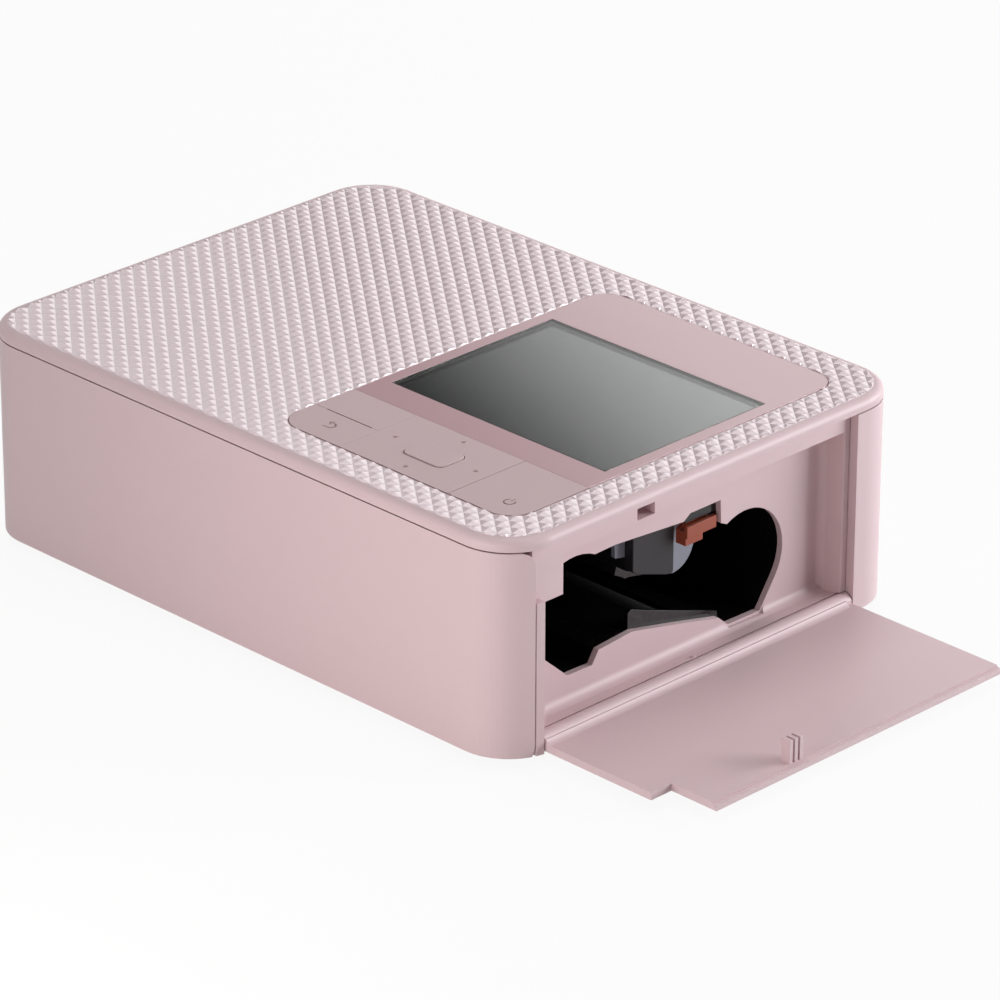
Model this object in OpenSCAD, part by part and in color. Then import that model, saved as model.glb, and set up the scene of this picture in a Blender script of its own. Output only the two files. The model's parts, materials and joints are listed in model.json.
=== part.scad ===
// Compact photo printer: casing, two hinged covers, key panel, cassette bay and print drive.
// +X is the cassette-door end, -Y the front, +Z up. Sizes in millimetres.

/* [Body] */
// Width of the body, left end to cassette-door end
body_w = 182.2; // [180:0.2:230]
// Depth of the body, front wall to back wall
body_d = 133; // [130:1:170]
// Height from the table to the highest point of the top
body_h = 57.6; // [57.6:0.2:72]
// Radius of the four upright corners
corner_r = 14; // [9:1:20]
// Thickness of the outer walls
wall = 2; // [1.6:0.1:2.4]
// Height of the walls' lower edge above the table
skirt_z = 2.5; // [1.5:0.1:3]
// Height of the top cover's rim that shows under the flat top
rim_h = 2.9; // [2.4:0.1:4.5]
// Radius of the rim's upper edge
top_edge_r = 2; // [1:0.1:2.2]
// Width of the seams between covers
seam = 0.35; // [0.2:0.05:0.5]
// Height of the patterned field above the plain rim
field_rise = 0.5; // [0.3:0.1:0.8]
// Width of the plain border round the patterned field
field_border = 2; // [2:0.5:5]

/* [Display and key panel] */
// Width of the panel set into the top
panel_w = 76.8; // [72:0.2:84]
// Depth of the panel set into the top
panel_d = 109.4; // [100:0.2:116]
// Radius of the panel's corners
panel_r = 6.6; // [3:0.2:9]
// Distance from the panel's right edge to the cassette-door end
panel_inset = 11.2; // [9:0.2:16]
// Depth of the matte key strip at the panel's front
strip_d = 24.8; // [22:0.2:28]
// Width of the display area
lcd_w = 69.8; // [60:0.2:71]
// Depth of the display area
lcd_d = 53.6; // [45:0.2:58]
// Distance from the key strip to the display area
lcd_gap = 8.9; // [4:0.1:12]
// Width of the OK key
ok_w = 12.8; // [9:0.2:15]
// Depth of the OK key
ok_d = 8.7; // [6:0.1:11]
// Travel of every key
key_travel = 0.3; // [0.2:0.05:0.4]
// Gap round the OK key
key_gap = 0.25; // [0.15:0.05:0.4]
// Gap between the other keys, which look like one sheet
split_gap = 0.06; // [0.04:0.01:0.1]
// Width of the slit between the menu and back keys
slit_w = 0.35; // [0.2:0.05:0.5]

/* [Cassette door] */
// Gap between the shut door's edge and the rim above it
door_top_gap = 0.2; // [0.1:0.05:0.4]
// Thickness of the door
door_t = 1.9; // [1.5:0.1:2.2]
// Depth of the recess behind the door, face of the body to the recessed wall
recess = 9.1; // [8:0.1:12]
// Distance from the front wall to the door opening
post_y = 11.7; // [11:0.1:14]
// Distance from the back wall to the door opening
column_y = 17.4; // [15:0.1:22]
// Width of the finger notch in the door's upper front corner
notch_w = 6.6; // [4:0.1:9]
// Height of the finger notch
notch_h = 13.8; // [8:0.1:18]
// Radius of the hinge pins
pin_r = 1; // [0.8:0.1:1.1]
// Running clearance round a pin or shaft
run_fit = 0.06; // [0.03:0.01:0.1]

/* [Cassette bay and print drive] */
// Depth of the ribbon cassette bay, measured from the recessed wall
bay_depth = 120; // [112:1:124]
// Distance from the front wall to the front spool's axis
front_spool_y = 30; // [29:0.5:31]
// Height of the front spool's axis
front_spool_z = 28.4; // [28:0.1:29]
// Radius of the bay round the front spool
front_spool_r = 14.5; // [13.5:0.1:14.8]
// Distance from the front wall to the rear spool's axis
rear_spool_y = 87; // [86:0.5:90]
// Height of the rear spool's axis
rear_spool_z = 22.5; // [22:0.1:23]
// Radius of the bay round the rear spool
rear_spool_r = 13.2; // [12:0.1:13.6]
// Thickness of the bay's liner
liner_t = 1; // [0.8:0.1:1.2]
// Radius of the platen roller
platen_r = 4.4; // [3.6:0.1:4.5]
// Radius of the paper feed roller
capstan_r = 2.6; // [2:0.1:2.7]
// Radius of the pick-up roller's tyres
pickup_r = 3.6; // [3:0.1:4]
// Swing of the print head, raised to pressed on the platen
head_swing = 17; // [12:0.5:18]
// Swing of the eject lever
lever_swing = 5; // [3:0.5:5]
// Tooth module of the gears
gear_m = 0.5; // [0.4:0.05:0.5]
// Width of the printed sheet's path
paper_w = 104; // [100:1:108]

/* [Connections] */
// Radius of the power inlet
inlet_r = 2.9; // [2:0.1:3.2]
// Depth of the power inlet
inlet_depth = 9; // [7:0.5:10]
// Width of the memory card slot
card_w = 25; // [24:0.5:27]
// Radius of a foot
foot_r = 5; // [4:0.5:6]

/* [Hidden] */
$fn = 48;
eps = 0.01;

pink = "#dcc3c5";
pink_panel = "#d3b9bb";
black = "#1b1a1c";
steel = "#a9acb0";
rubber = "#2c2b2d";
board_green = "#2f5a3c";
white_nylon = "#dcd9d0";
orange = "#c4592c";

// Faces of the body, with the body centred on x = 0 and y = 0
xr = body_w / 2;
xl = -xr;
yf = -body_d / 2;
yb = body_d / 2;
flat_z = body_h - field_rise;
rim_z = flat_z - rim_h;
wall_top = rim_z - seam;
cover_y = yf + 9.3;

// Door opening and recess
door_y0 = yf + post_y;
door_y1 = yb - column_y;
recess_x = xr - recess;
rear_jamb_t = 1.9;
frame_x = xr - door_t - 0.5;
recess_floor = 6.6;
header_z = wall_top - 4.5;
block_y = door_y0 + notch_w + 1.3;
block_z = wall_top - notch_h - 0.7;
hinge_x = xr - 2.2;
hinge_z = skirt_z + 2.6;
hinge_r = 2.1;
door_gap = 0.3;
door_len = rim_z - door_top_gap - hinge_z;
door_reach = hinge_x + door_len - xr;
// The origin lies under the middle of the whole object with its door open
open_shift = -door_reach / 2;
door_y_lo = door_y0 + 0.4;
door_y_hi = door_y1 - door_gap;
pin_len = 1.5;
frame_t = 1.6;
latch_y = door_y0 + 34.7;
latch_w = 4.4;
latch_h = 5.8;
rear_jamb_y = door_y1 - 0.2 - rear_jamb_t;
corner_fillet = 2;
floor_fillet = 2.4;

// Front cover and its hinge
cover_hinge_y = yf + 2.9;
cover_hinge_z = skirt_z + 2.8;
cover_pin_x = xr - corner_r - 1.5;
ear_t = 2;
ear_r = 2;

// Panel
panel_x = xr - panel_inset - panel_w / 2;
panel_z = flat_z + 0.2;
panel_front = -panel_d / 2;
strip_back = panel_front + strip_d;
lcd_y = strip_back + lcd_gap + lcd_d / 2;
window_t = 1.2;
ledge_w = 2.2;
ledge_z = panel_z - window_t;
key_t = 1.2;
plate_z = panel_z - key_t - key_travel - 0.1;
plate_t = 0.9;
key_split_x = panel_x - panel_w / 2 + 21;
power_split_x = panel_x + panel_w / 2 - 20.3;
ok_x = panel_x + 1.1;
ok_y = panel_front + 12.3;
key_post_r = 1.4;
board_z = plate_z - plate_t - 3.4;
board_t = 1;

// Bay and drive, with the bay running from the recessed wall towards the left end
bay_x0 = recess_x - frame_t - bay_depth;
bay_x1 = recess_x - frame_t;
plate_thk = 1.2;
left_x = bay_x0 - plate_thk;
right_x = bay_x1 - 4.8;
liner_end_x = bay_x1 - 1.2;
base_t = 1.5;
base_z = skirt_z + base_t;
gear_w = 4;
gear_x = left_x - 1 - gear_w;
bracket_x = gear_x - 3;
shaft_r = 1.5;
chassis_top = 48.5;
chassis_back = door_y1 - 2;

function at_front(y) = yf + y;
capstan = [at_front(40.5), 9];
platen = [at_front(66.5), base_z + 0.2 + platen_r];
feed_axis = capstan + gear_m * [-11.2, 11.4];
pickup = feed_axis + gear_m * [-21.6, -10.4];
motor_axis = feed_axis + gear_m * 24 * [cos(45), sin(45)];
takeup = [at_front(rear_spool_y), rear_spool_z];
supply = [at_front(front_spool_y), front_spool_z];
ribbon_axis = takeup + gear_m * 26 * [cos(45), sin(45)];
pinch_r = 1.5;
pinch = capstan + [0, capstan_r + pinch_r + 0.25];
head_pivot = [at_front(96), 42.5];
head_tip = [platen[0], platen[1] + platen_r + 0.3];

teeth_pinion = 12;
teeth_feed = 36;
teeth_small = 16;
teeth_pickup = 12;
teeth_spool = 40;

function angle_to(a, b) = atan2(b[1] - a[1], b[0] - a[0]);
// Turn of a gear that puts its teeth in the gaps of the gear that it meshes with
function mesh_turn(theta, turn_a, n_a, n_b) =
    theta + 180 + (360 / n_b) * (0.5 - (turn_a - theta) * n_a / 360);
pinion_turn = 0;
feed_turn = mesh_turn(angle_to(motor_axis, feed_axis), pinion_turn, teeth_pinion, teeth_feed);
small_turn = 0;
capstan_turn = mesh_turn(angle_to(feed_axis, capstan), small_turn, teeth_small, teeth_small);
pickup_turn = mesh_turn(angle_to(feed_axis, pickup), feed_turn, teeth_feed, teeth_pickup);
spool_turn = mesh_turn(angle_to(ribbon_axis, takeup), 0, teeth_pinion, teeth_spool);

// Outline of the bay, [distance from the front wall, height], anticlockwise
function arc(c, r, a0, a1, n) = [for (i = [0:n]) let (a = a0 + (a1 - a0) * i / n)
    c + r * [cos(a), sin(a)]];
bay_outline = concat(
    [[28.1, 13.4], [36.2, 13.2], [38.3, 16.4], [49.5, 17.2], [63.8, 14], [78.7, 10.5]],
    [[81.8, 7.8], [92.8, 7.6]],
    arc([rear_spool_y, rear_spool_z], rear_spool_r, -35, 118, 18),
    [[78.9, 35], [78.5, 41.1], [68.3, 41.1], [66.1, 39.6], [43.3, 41.4]],
    arc([front_spool_y, front_spool_z], front_spool_r, 62, 198, 16));
function unit(v) = v / norm(v);
function left_of(v) = [v[1], -v[0]];
// The outline moved outwards by g along its mitred corners
function grown(p, g) = [for (i = [0:len(p) - 1]) let (
    a = p[(i + len(p) - 1) % len(p)], b = p[i], c = p[(i + 1) % len(p)],
    n1 = left_of(unit(b - a)), n2 = left_of(unit(c - b)), m = unit(n1 + n2))
    b + m * g / max(0.5, m * n1)];

module placed() translate([open_shift, 0, 0]) children();

// Flat shapes
module rounded(w, d, r) {
    square([w - 2 * r, d], center = true);
    square([w, d - 2 * r], center = true);
    for (x = [-1, 1], y = [-1, 1]) translate([x * (w / 2 - r), y * (d / 2 - r)]) circle(r);
}
module body_outline(inset) rounded(body_w - 2 * inset, body_d - 2 * inset, corner_r - inset);

// Solids
module box(lo, hi) translate(lo) cube(hi - lo);
module rod_x(x, len, yz, r) translate([x, yz[0], yz[1]]) rotate([0, 90, 0]) cylinder(h = len, r = r);
module rod_y(x, y, z, len, r) translate([x, y, z]) rotate([-90, 0, 0]) cylinder(h = len, r = r);
// A flat shape drawn in (y, z), extruded along +X
module slab_x(x, len) translate([x, 0, 0]) rotate([90, 0, 90]) linear_extrude(len) children();
module bay_shape(g) translate([yf, 0]) polygon(grown(bay_outline, g));
module body_ring(z0, z1, inset, t) translate([0, 0, z0]) linear_extrude(z1 - z0) difference() {
    body_outline(inset);
    body_outline(inset + t);
}
// Section of a plate's border, from its corner's centre outwards, with the upper edge rounded
module border_section(z0, z1, r) difference() {
    translate([0, z0]) square([corner_r, z1 - z0]);
    difference() {
        translate([corner_r - r, z1 - r]) square(r + 1);
        translate([corner_r - r, z1 - r]) circle(r);
    }
}
// A plate of the body's outline whose upper edge is rounded
module crowned_plate(z0, z1, r) {
    translate([0, 0, z0]) linear_extrude(z1 - z0)
        square([body_w - 2 * corner_r, body_d - 2 * corner_r], center = true);
    for (s = [0, 180]) rotate(s) {
        translate([xr - corner_r, yb - corner_r, 0]) rotate([90, 0, 0])
            linear_extrude(body_d - 2 * corner_r) border_section(z0, z1, r);
        translate([xl + corner_r, yb - corner_r, 0]) rotate([90, 0, 90])
            linear_extrude(body_w - 2 * corner_r) border_section(z0, z1, r);
        translate([xr - corner_r, yb - corner_r, 0]) rotate_extrude(angle = 90)
            border_section(z0, z1, r);
        translate([xl + corner_r, yb - corner_r, 0]) rotate(90) rotate_extrude(angle = 90)
            border_section(z0, z1, r);
    }
}
// A spur gear's outline
module gear_shape(n, turn) {
    pitch = 360 / n;
    rp = gear_m * n / 2;
    ra = rp + 0.8 * gear_m;
    rf = rp - 1.15 * gear_m;
    half = [0.36, 0.22, 0.1];
    radii = [rf, rp, ra];
    rotate(turn) polygon([for (i = [0:n - 1], s = [0:5]) let (
        k = s < 3 ? s : 5 - s, side = s < 3 ? -1 : 1, a = pitch * (i + side * half[k]))
        radii[k] * [cos(a), sin(a)]]);
}
module gear_along(x, len, yz, n, turn) slab_x(x, len) translate(yz) gear_shape(n, turn);

// Casing
posts_at = [[xl + 14, yf + 14.5], [left_x - 15, yf + 14.5], [xl + 14, yb - 12], [xr - 10, yb - 10.5]];
post_z = 12;
screw_r = 1.15;
head_seat = skirt_z + 1.4;
module base_tray() placed() color(pink) difference() {
    union() {
        translate([0, 0, skirt_z]) linear_extrude(base_t) body_outline(wall + 0.3);
        body_ring(skirt_z + eps, base_z + 3, wall + 0.3, 1.2);
        for (p = posts_at) translate([p[0], p[1], skirt_z]) cylinder(h = post_z - skirt_z, r = 2.6);
        for (x = [xl + 12, left_x - 16], y = [yf + 24, yb - 24])
            translate([x, y, skirt_z]) cylinder(h = pcb_z - skirt_z, r = 2);
        for (s = [-1, 1]) cover_ear(s);
    }
    // Room for the front cover and its wrapped ends
    difference() {
        box([xl - 1, yf - 1, 0], [xr + 1, yf + 7.3, 12]);
        for (s = [-1, 1]) cover_ear(s);
    }
    for (s = [-1, 1]) {
        rod_x(s * cover_pin_x - 1.2, 2.4, [cover_hinge_y, cover_hinge_z], pin_r + run_fit);
        box([s * (xr - 3.5) - 4, yf - 1, 0], [s * (xr - 3.5) + 4, cover_y + 0.4, 12]);
    }
    // Room for the cassette door's barrel and the frame above it
    box([recess_x - frame_t - 0.2, door_y0 - 2.6, 0], [xr + 1, door_y1 + wall + 0.2, 12]);
    // Slot where the sheet leaves at the back
    box([bay_x0, yb - 5, base_z], [right_x, yb, base_z + 5]);
    for (p = posts_at) translate([p[0], p[1], 0]) {
        cylinder(h = post_z + 1, r = screw_r + 0.1);
        cylinder(h = head_seat, r = 2.3);
    }
    for (i = [0:7]) translate([xl + 30 + 6 * i, 20, 0]) rounded_slot(2, 24, base_z + 1);
}
module rounded_slot(w, d, h) linear_extrude(h) {
    square([w, d - w], center = true);
    for (s = [-1, 1]) translate([0, s * (d - w) / 2]) circle(w / 2);
}
module cover_ear(s) difference() {
    union() {
        rod_x(s * cover_pin_x - ear_t / 2, ear_t, [cover_hinge_y, cover_hinge_z], ear_r);
        box([s * cover_pin_x - ear_t / 2, cover_hinge_y, skirt_z + 0.8],
            [s * cover_pin_x + ear_t / 2, yf + 8, cover_hinge_z + ear_r]);
    }
    rod_x(s * cover_pin_x - ear_t, 2 * ear_t, [cover_hinge_y, cover_hinge_z], pin_r + run_fit);
}

inlet_x = xl + 26;
inlet_z = 16.5;
card_y = -17;
card_z = 10.3;
usb_y = 12;
fan_x = left_x + 22;
fan_z = 27;
fan_s = 30;
module rear_case() placed() color(pink) difference() {
    union() {
        difference() {
            body_ring(skirt_z, wall_top, 0, wall);
            box([xl - 1, yf - 1, 0], [xr + 1, cover_y + seam, body_h]);
            box([0, yf - 1, 0], [xr + 1, door_y1, body_h]);
        }
        // Return of the right-hand column, which carries the door's rear pin
        intersection() {
            translate([0, 0, skirt_z]) linear_extrude(wall_top - skirt_z) body_outline(0);
            box([recess_x - frame_t, door_y1, 0], [xr + 1, door_y1 + wall, body_h]);
        }
    }
    rod_y(hinge_x, door_y1 - 1, hinge_z, wall + 2, pin_r + run_fit);
    // Slot where the sheet comes out at the back
    box([bay_x0 + 6, yb - wall - 1, 5], [bay_x0 + 6 + paper_w + 4, yb + 1, 8.6]);
    rod_y(inlet_x, yb - wall - 1, inlet_z, wall + 2, inlet_r + 1.2);
    for (i = [0:8]) translate([fan_x - 12 + 3 * i, yb, fan_z]) rotate([90, 0, 0])
        translate([0, 0, -1]) rounded_slot(1.6, fan_s - 6, wall + 2);
    box([xl - 1, card_y - card_w / 2, card_z], [xl + wall + 1, card_y + card_w / 2, card_z + 3.2]);
    translate([xl - 1, usb_y, card_z + 1.8]) rotate([90, 0, 90]) rotate(90)
        rounded_slot(3.6, 9.6, wall + 2);
}

module top_cover() placed() color(pink) difference() {
    union() {
        difference() {
            crowned_plate(rim_z, flat_z, top_edge_r);
            translate([0, 0, rim_z - 1]) linear_extrude(flat_z - 1.8 - rim_z + 1) body_outline(wall);
        }
        translate([0, 0, flat_z - 1]) linear_extrude(1 + field_rise) body_outline(field_border);
        // Ledge that the window and the key plate sit on
        translate([panel_x, 0, rim_z + 0.3]) linear_extrude(flat_z - rim_z - 0.3)
            rounded(panel_w + 3, panel_d + 3, panel_r + 1.5);
        // Screw bosses
        for (p = posts_at) translate([p[0], p[1], post_z]) cylinder(h = flat_z - 1 - post_z, r = 2.6);
        // Locating lip inside the left and back walls
        intersection() {
            body_ring(rim_z - 2.5, flat_z - 1, wall + 0.25, 1.2);
            box([xl, cover_y + 3, 0], [recess_x - frame_t - 1, yb, body_h]);
        }
    }
    translate([panel_x, 0, ledge_z]) linear_extrude(10)
        rounded(panel_w + 2 * seam / 2, panel_d + 2 * seam / 2, panel_r + seam / 2);
    // The keys need room to travel
    strip_piece(strip_x0 - seam / 2, strip_x1 + seam / 2, panel_front - 1, strip_back, plate_z, body_h + 1);
    translate([panel_x, (strip_back + panel_d / 2) / 2, 0]) linear_extrude(body_h)
        square([panel_w - 2 * ledge_w, panel_d / 2 - strip_back - 2 * ledge_w], center = true);
    translate([panel_x, panel_front + strip_d / 2, 0]) linear_extrude(body_h)
        square([panel_w - 2 * ledge_w - 8, strip_d - 2 * ledge_w], center = true);
    for (p = posts_at) translate([p[0], p[1], post_z - 1]) cylinder(h = 10, r = screw_r);
}

module frame_step(x, y0, y1, z0, z1) box([recess_x - frame_t, y0, z0], [x, y1, z1]);
module bay_frame() placed() color(pink) difference() {
    union() {
        difference() {
            frame_step(recess_x, cover_y + seam, door_y1 - 0.2, skirt_z + 0.6, wall_top);
            slab_x(recess_x - frame_t - 1, frame_t + 2) bay_shape(0);
        }
        frame_step(frame_x, cover_y + seam, door_y1 - 0.2, header_z, wall_top);
        frame_step(frame_x, cover_y + seam, block_y, block_z, wall_top);
        frame_step(frame_x, rear_jamb_y, door_y1 - 0.2, skirt_z + 0.6, wall_top);
        frame_step(hinge_x - 0.6, door_y0 - 1, door_y1 - 0.2, recess_floor - frame_t, recess_floor);
        // Rounded inner corners of the recess, and a small rest for the door's barrel
        difference() {
            frame_step(recess_x + corner_fillet, rear_jamb_y - corner_fillet, rear_jamb_y + eps,
                recess_floor - eps, header_z);
            translate([recess_x + corner_fillet, rear_jamb_y - corner_fillet, 0])
                cylinder(h = body_h, r = corner_fillet);
        }
        difference() {
            frame_step(recess_x + floor_fillet, door_y0 - 1, rear_jamb_y, recess_floor - eps,
                recess_floor + floor_fillet);
            rod_y(recess_x + floor_fillet, door_y0 - 2, recess_floor + floor_fillet, body_d, floor_fillet);
            slab_x(recess_x - frame_t - 1, 20) bay_shape(0.6);
        }
        translate([hinge_x - 2.4, (door_y0 + door_y1) / 2 + 1.8, recess_floor - 0.4]) sphere(r = 0.8);
        // Post between the front cover and the door
        intersection() {
            translate([0, 0, skirt_z]) linear_extrude(block_z + 1.6 - skirt_z) body_outline(0);
            frame_step(xr, cover_y + seam, door_y0, skirt_z, block_z + 1.6);
        }
    }
    // Swept room of the door's barrel
    rod_y(hinge_x, door_y0, hinge_z, door_y1 + 1 - door_y0, hinge_r + 0.25);
    rod_y(hinge_x, door_y0 - 3, hinge_z, 4, pin_r + run_fit);
    // Latch pocket
    box([frame_x - 6.6, latch_y - latch_w / 2 - 0.7, header_z + 0.3],
        [frame_x + 1, latch_y + latch_w / 2 + 0.7, header_z + 3.75]);
}

module cassette_door() placed() color(pink) {
    plate_z0 = hinge_z - hinge_r;
    difference() {
        union() {
            box([hinge_x, door_y_lo, plate_z0], [hinge_x + door_len, door_y_hi, plate_z0 + door_t]);
            rod_y(hinge_x, door_y_lo, hinge_z, door_y_hi - door_y_lo, hinge_r);
            rod_y(hinge_x, door_y_lo - pin_len, hinge_z, door_y_hi - door_y_lo + 2 * pin_len, pin_r);
            difference() {
                box([hinge_x + hinge_r - 0.7, door_y_lo, plate_z0 + door_t - eps],
                    [hinge_x + hinge_r + 1.9, rear_jamb_y - 0.2, plate_z0 + door_t + 1.2]);
                rod_y(hinge_x + hinge_r + 1.9, door_y_lo - 1, plate_z0 + door_t + 1.9,
                    door_y_hi - door_y_lo + 2, 1.9);
            }
        }
        // Finger notch
        box([hinge_x + door_len - notch_h, door_y_lo - 1, plate_z0 - 1],
            [hinge_x + door_len + 1, door_y_lo + notch_w, plate_z0 + door_t + 1]);
        // Step along the free edge, which the header covers when the door is shut
        box([hinge_x + door_len - 1.2, door_y_lo - 1, plate_z0 + door_t - 0.5],
            [hinge_x + door_len + 1, door_y_hi + 1, plate_z0 + door_t + 1]);
    }
    // Three latch ribs
    for (i = [-1:1]) box(
        [hinge_x + header_z + 0.5 - hinge_z, latch_y + i * 1.7 - 0.5, plate_z0 + door_t - eps],
        [hinge_x + header_z + 3.2 - hinge_z, latch_y + i * 1.7 + 0.5, plate_z0 + door_t + latch_h]);
}

cover_round = 3.6;
rib_step = body_w / 9;
module front_cover() placed() color(pink) difference() {
    union() {
        difference() {
            body_ring(skirt_z, wall_top, 0, wall);
            box([xl - 1, cover_y, 0], [xr + 1, yb + 1, body_h]);
        }
        rod_x(-cover_pin_x + ear_t / 2 + 0.3, 2 * cover_pin_x - ear_t - 0.6,
            [cover_hinge_y, cover_hinge_z], ear_r);
        box([-cover_pin_x + ear_t / 2 + 0.3, yf + 1, cover_hinge_z - ear_r],
            [cover_pin_x - ear_t / 2 - 0.3, cover_hinge_y, cover_hinge_z + ear_r]);
        for (s = [-1, 1]) rod_x(s * (cover_pin_x - 0.2) - 1.2, 2.4, [cover_hinge_y, cover_hinge_z], pin_r);
        // Ribs inside the wall
        for (x = [-3, -1, 1, 3] * rib_step)
            box([x - 0.6, yf + wall - eps, 12], [x + 0.6, yf + wall + 1.2, wall_top - 4]);
    }
    // Rounded upper ends of the wrapped sides
    slab_x(xl - 1, body_w + 2) difference() {
        translate([cover_y - cover_round, wall_top - cover_round]) square(cover_round + 1);
        translate([cover_y - cover_round, wall_top - cover_round]) circle(cover_round);
    }
    // Lower ends trimmed to swing past the base
    slab_x(xl - 1, body_w + 2) difference() {
        translate([cover_hinge_y, skirt_z - 1]) square([12, cover_hinge_z - skirt_z + 1]);
        translate([cover_hinge_y, cover_hinge_z]) circle(cover_y - cover_hinge_y);
    }
    for (s = [-1, 1]) difference() {
        union() {
            rod_x(s * cover_pin_x - ear_t / 2 - 0.3, ear_t + 0.6, [cover_hinge_y, cover_hinge_z],
                ear_r + 0.25);
            box([s * cover_pin_x - ear_t / 2 - 0.3, cover_hinge_y - ear_r - 0.25, skirt_z - 1],
                [s * cover_pin_x + ear_t / 2 + 0.3, cover_hinge_y + 4, cover_hinge_z]);
        }
        rod_x(s * cover_pin_x - 2, 4, [cover_hinge_y, cover_hinge_z], pin_r);
    }
}

feet_at = [for (x = [xl + 22, xr - 22], y = [yf + 22, yb - 20]) [x, y]];
module rubber_feet() placed() color(rubber)
    for (p = feet_at) translate([p[0], p[1], 0]) rotate_extrude()
        polygon([[0, 0], [foot_r - 0.5, 0], [foot_r, 0.5], [foot_r, skirt_z], [0, skirt_z]]);

module case_screws() placed() color(steel)
    for (p = posts_at) translate([p[0], p[1], head_seat]) difference() {
        union() {
            translate([0, 0, -1.2]) cylinder(h = 1.2, r = 2);
            translate([0, 0, -eps]) cylinder(h = 16, r = screw_r);
        }
        for (a = [0, 90]) rotate(a) translate([-1.3, -0.25, -1.3]) cube([2.6, 0.5, 0.8]);
    }

// Key panel
module strip_piece(x0, x1, y0, y1, z0, z1) intersection() {
    translate([panel_x, 0, z0]) linear_extrude(z1 - z0) rounded(panel_w, panel_d, panel_r);
    box([x0, y0, z0 - 1], [x1, y1, z1 + 1]);
}
strip_x0 = panel_x - panel_w / 2;
strip_x1 = panel_x + panel_w / 2;
key_mid = panel_front + strip_d / 2;
module key_body(x0, x1, y0, y1, cx, cy) {
    strip_piece(x0, x1, y0, y1, panel_z - key_t, panel_z);
    translate([cx, cy, board_z + board_t + 1.2 + key_travel + 0.05])
        cylinder(h = panel_z - key_t - board_z - board_t - 1.2 - key_travel, r = key_post_r);
}
menu_at = [strip_x0 + 12, panel_front + strip_d * 0.75];
back_at = [strip_x0 + 12, panel_front + strip_d * 0.27];
nav_at = [ok_x, ok_y];
nav_posts = [[-12, 0], [12, 0], [0, -7.6], [0, 7.6]];
power_at = [strip_x1 - 8, panel_front + strip_d * 0.35];
module slit() box([strip_x0 + 3.7, key_mid - slit_w / 2, plate_z],
    [key_split_x - 2.2, key_mid + slit_w / 2, body_h]);
module menu_key() placed() color(pink_panel) difference() {
    key_body(strip_x0, key_split_x, key_mid + split_gap / 2, strip_back - split_gap, menu_at[0], menu_at[1]);
    slit();
}
module back_key() placed() color(pink_panel) difference() {
    key_body(strip_x0, key_split_x, panel_front, key_mid - split_gap / 2, back_at[0], back_at[1]);
    slit();
}
// Raised arrowheads on the navigation key, [place from the OK key, turn]
nav_marks = [[[13.2, 0.5], 0], [[0, 9.8], 90], [[-13.2, 0.5], 180], [[0, -9.2], 270]];
module nav_key() placed() color(pink_panel) difference() {
    union() {
        strip_piece(key_split_x + split_gap, power_split_x, panel_front, strip_back - split_gap,
            panel_z - key_t, panel_z);
        for (m = nav_marks) translate([nav_at[0] + m[0][0], nav_at[1] + m[0][1], panel_z - eps]) rotate(m[1])
            linear_extrude(0.12 + eps) polygon([[-0.5, -0.6], [0.7, 0], [-0.5, 0.6]]);
        for (a = nav_posts)
            translate([nav_at[0] + a[0], nav_at[1] + a[1], board_z + board_t + 1.2 + key_travel + 0.05])
            cylinder(h = panel_z - key_t - board_z - board_t - 1.2 - key_travel, r = key_post_r);
    }
    translate([ok_x, ok_y, 0]) linear_extrude(body_h)
        rounded(ok_w + 2 * key_gap, ok_d + 2 * key_gap, 1.75 + key_gap);
}
module ok_key() placed() color(pink_panel) {
    translate([ok_x, ok_y, panel_z - key_t]) linear_extrude(key_t + 0.25) rounded(ok_w, ok_d, 1.75);
    translate([ok_x, ok_y, board_z + board_t + 1.2 + key_travel + 0.05])
        cylinder(h = panel_z - key_t - board_z - board_t - 1.2 - key_travel, r = key_post_r);
}
module power_key() placed() color(pink_panel)
    key_body(power_split_x + 0.15, strip_x1, panel_front, strip_back - split_gap, power_at[0], power_at[1]);
switch_at = concat([menu_at, back_at, power_at, nav_at],
    [for (a = nav_posts) nav_at + a]);
module key_plate() placed() color(black) difference() {
    translate([panel_x, key_mid, plate_z - plate_t]) linear_extrude(plate_t)
        square([panel_w - 2 * ledge_w - 8, strip_d - 2 * ledge_w], center = true);
    for (p = switch_at) translate([p[0], p[1], 0]) cylinder(h = body_h, r = key_post_r + 0.3);
}
module panel_board() placed() color(board_green) {
    translate([panel_x, key_mid, board_z]) linear_extrude(board_t)
        square([panel_w - 2 * ledge_w - 9, strip_d - 2 * ledge_w - 1], center = true);
    for (x = [-1, 1], y = [-1, 1])
        translate([panel_x + x * (panel_w / 2 - 8.5), key_mid + y * (strip_d / 2 - 4.6), board_z])
        cylinder(h = plate_z - plate_t - board_z, r = 1);
}
module tact_switches() placed() color(black)
    for (p = switch_at) translate([p[0], p[1], board_z + board_t]) {
        translate([-1.7, -1.7, 0]) cube([3.4, 3.4, 0.8]);
        cylinder(h = 1.2, r = 1);
    }
module display_window() placed() color(pink) difference() {
    strip_piece(strip_x0, strip_x1, strip_back, panel_d, ledge_z + 0.02, panel_z);
    translate([panel_x, lcd_y, 0]) linear_extrude(body_h) square([lcd_w, lcd_d], center = true);
}
// Clear sheet in the window's opening, and the display under it
module lcd_glass() placed() color("#3a3c3d")
    translate([panel_x, lcd_y, ledge_z + 0.02]) linear_extrude(window_t - 0.02)
        square([lcd_w - 0.06, lcd_d - 0.06], center = true);
module lcd_module() placed() color(steel) {
    translate([panel_x, lcd_y, ledge_z - 4]) linear_extrude(3.1) square([lcd_w, lcd_d + 4], center = true);
    translate([panel_x, lcd_y, ledge_z - 1]) linear_extrude(0.9)
        square([lcd_w - 3, lcd_d - 3], center = true);
}

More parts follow.
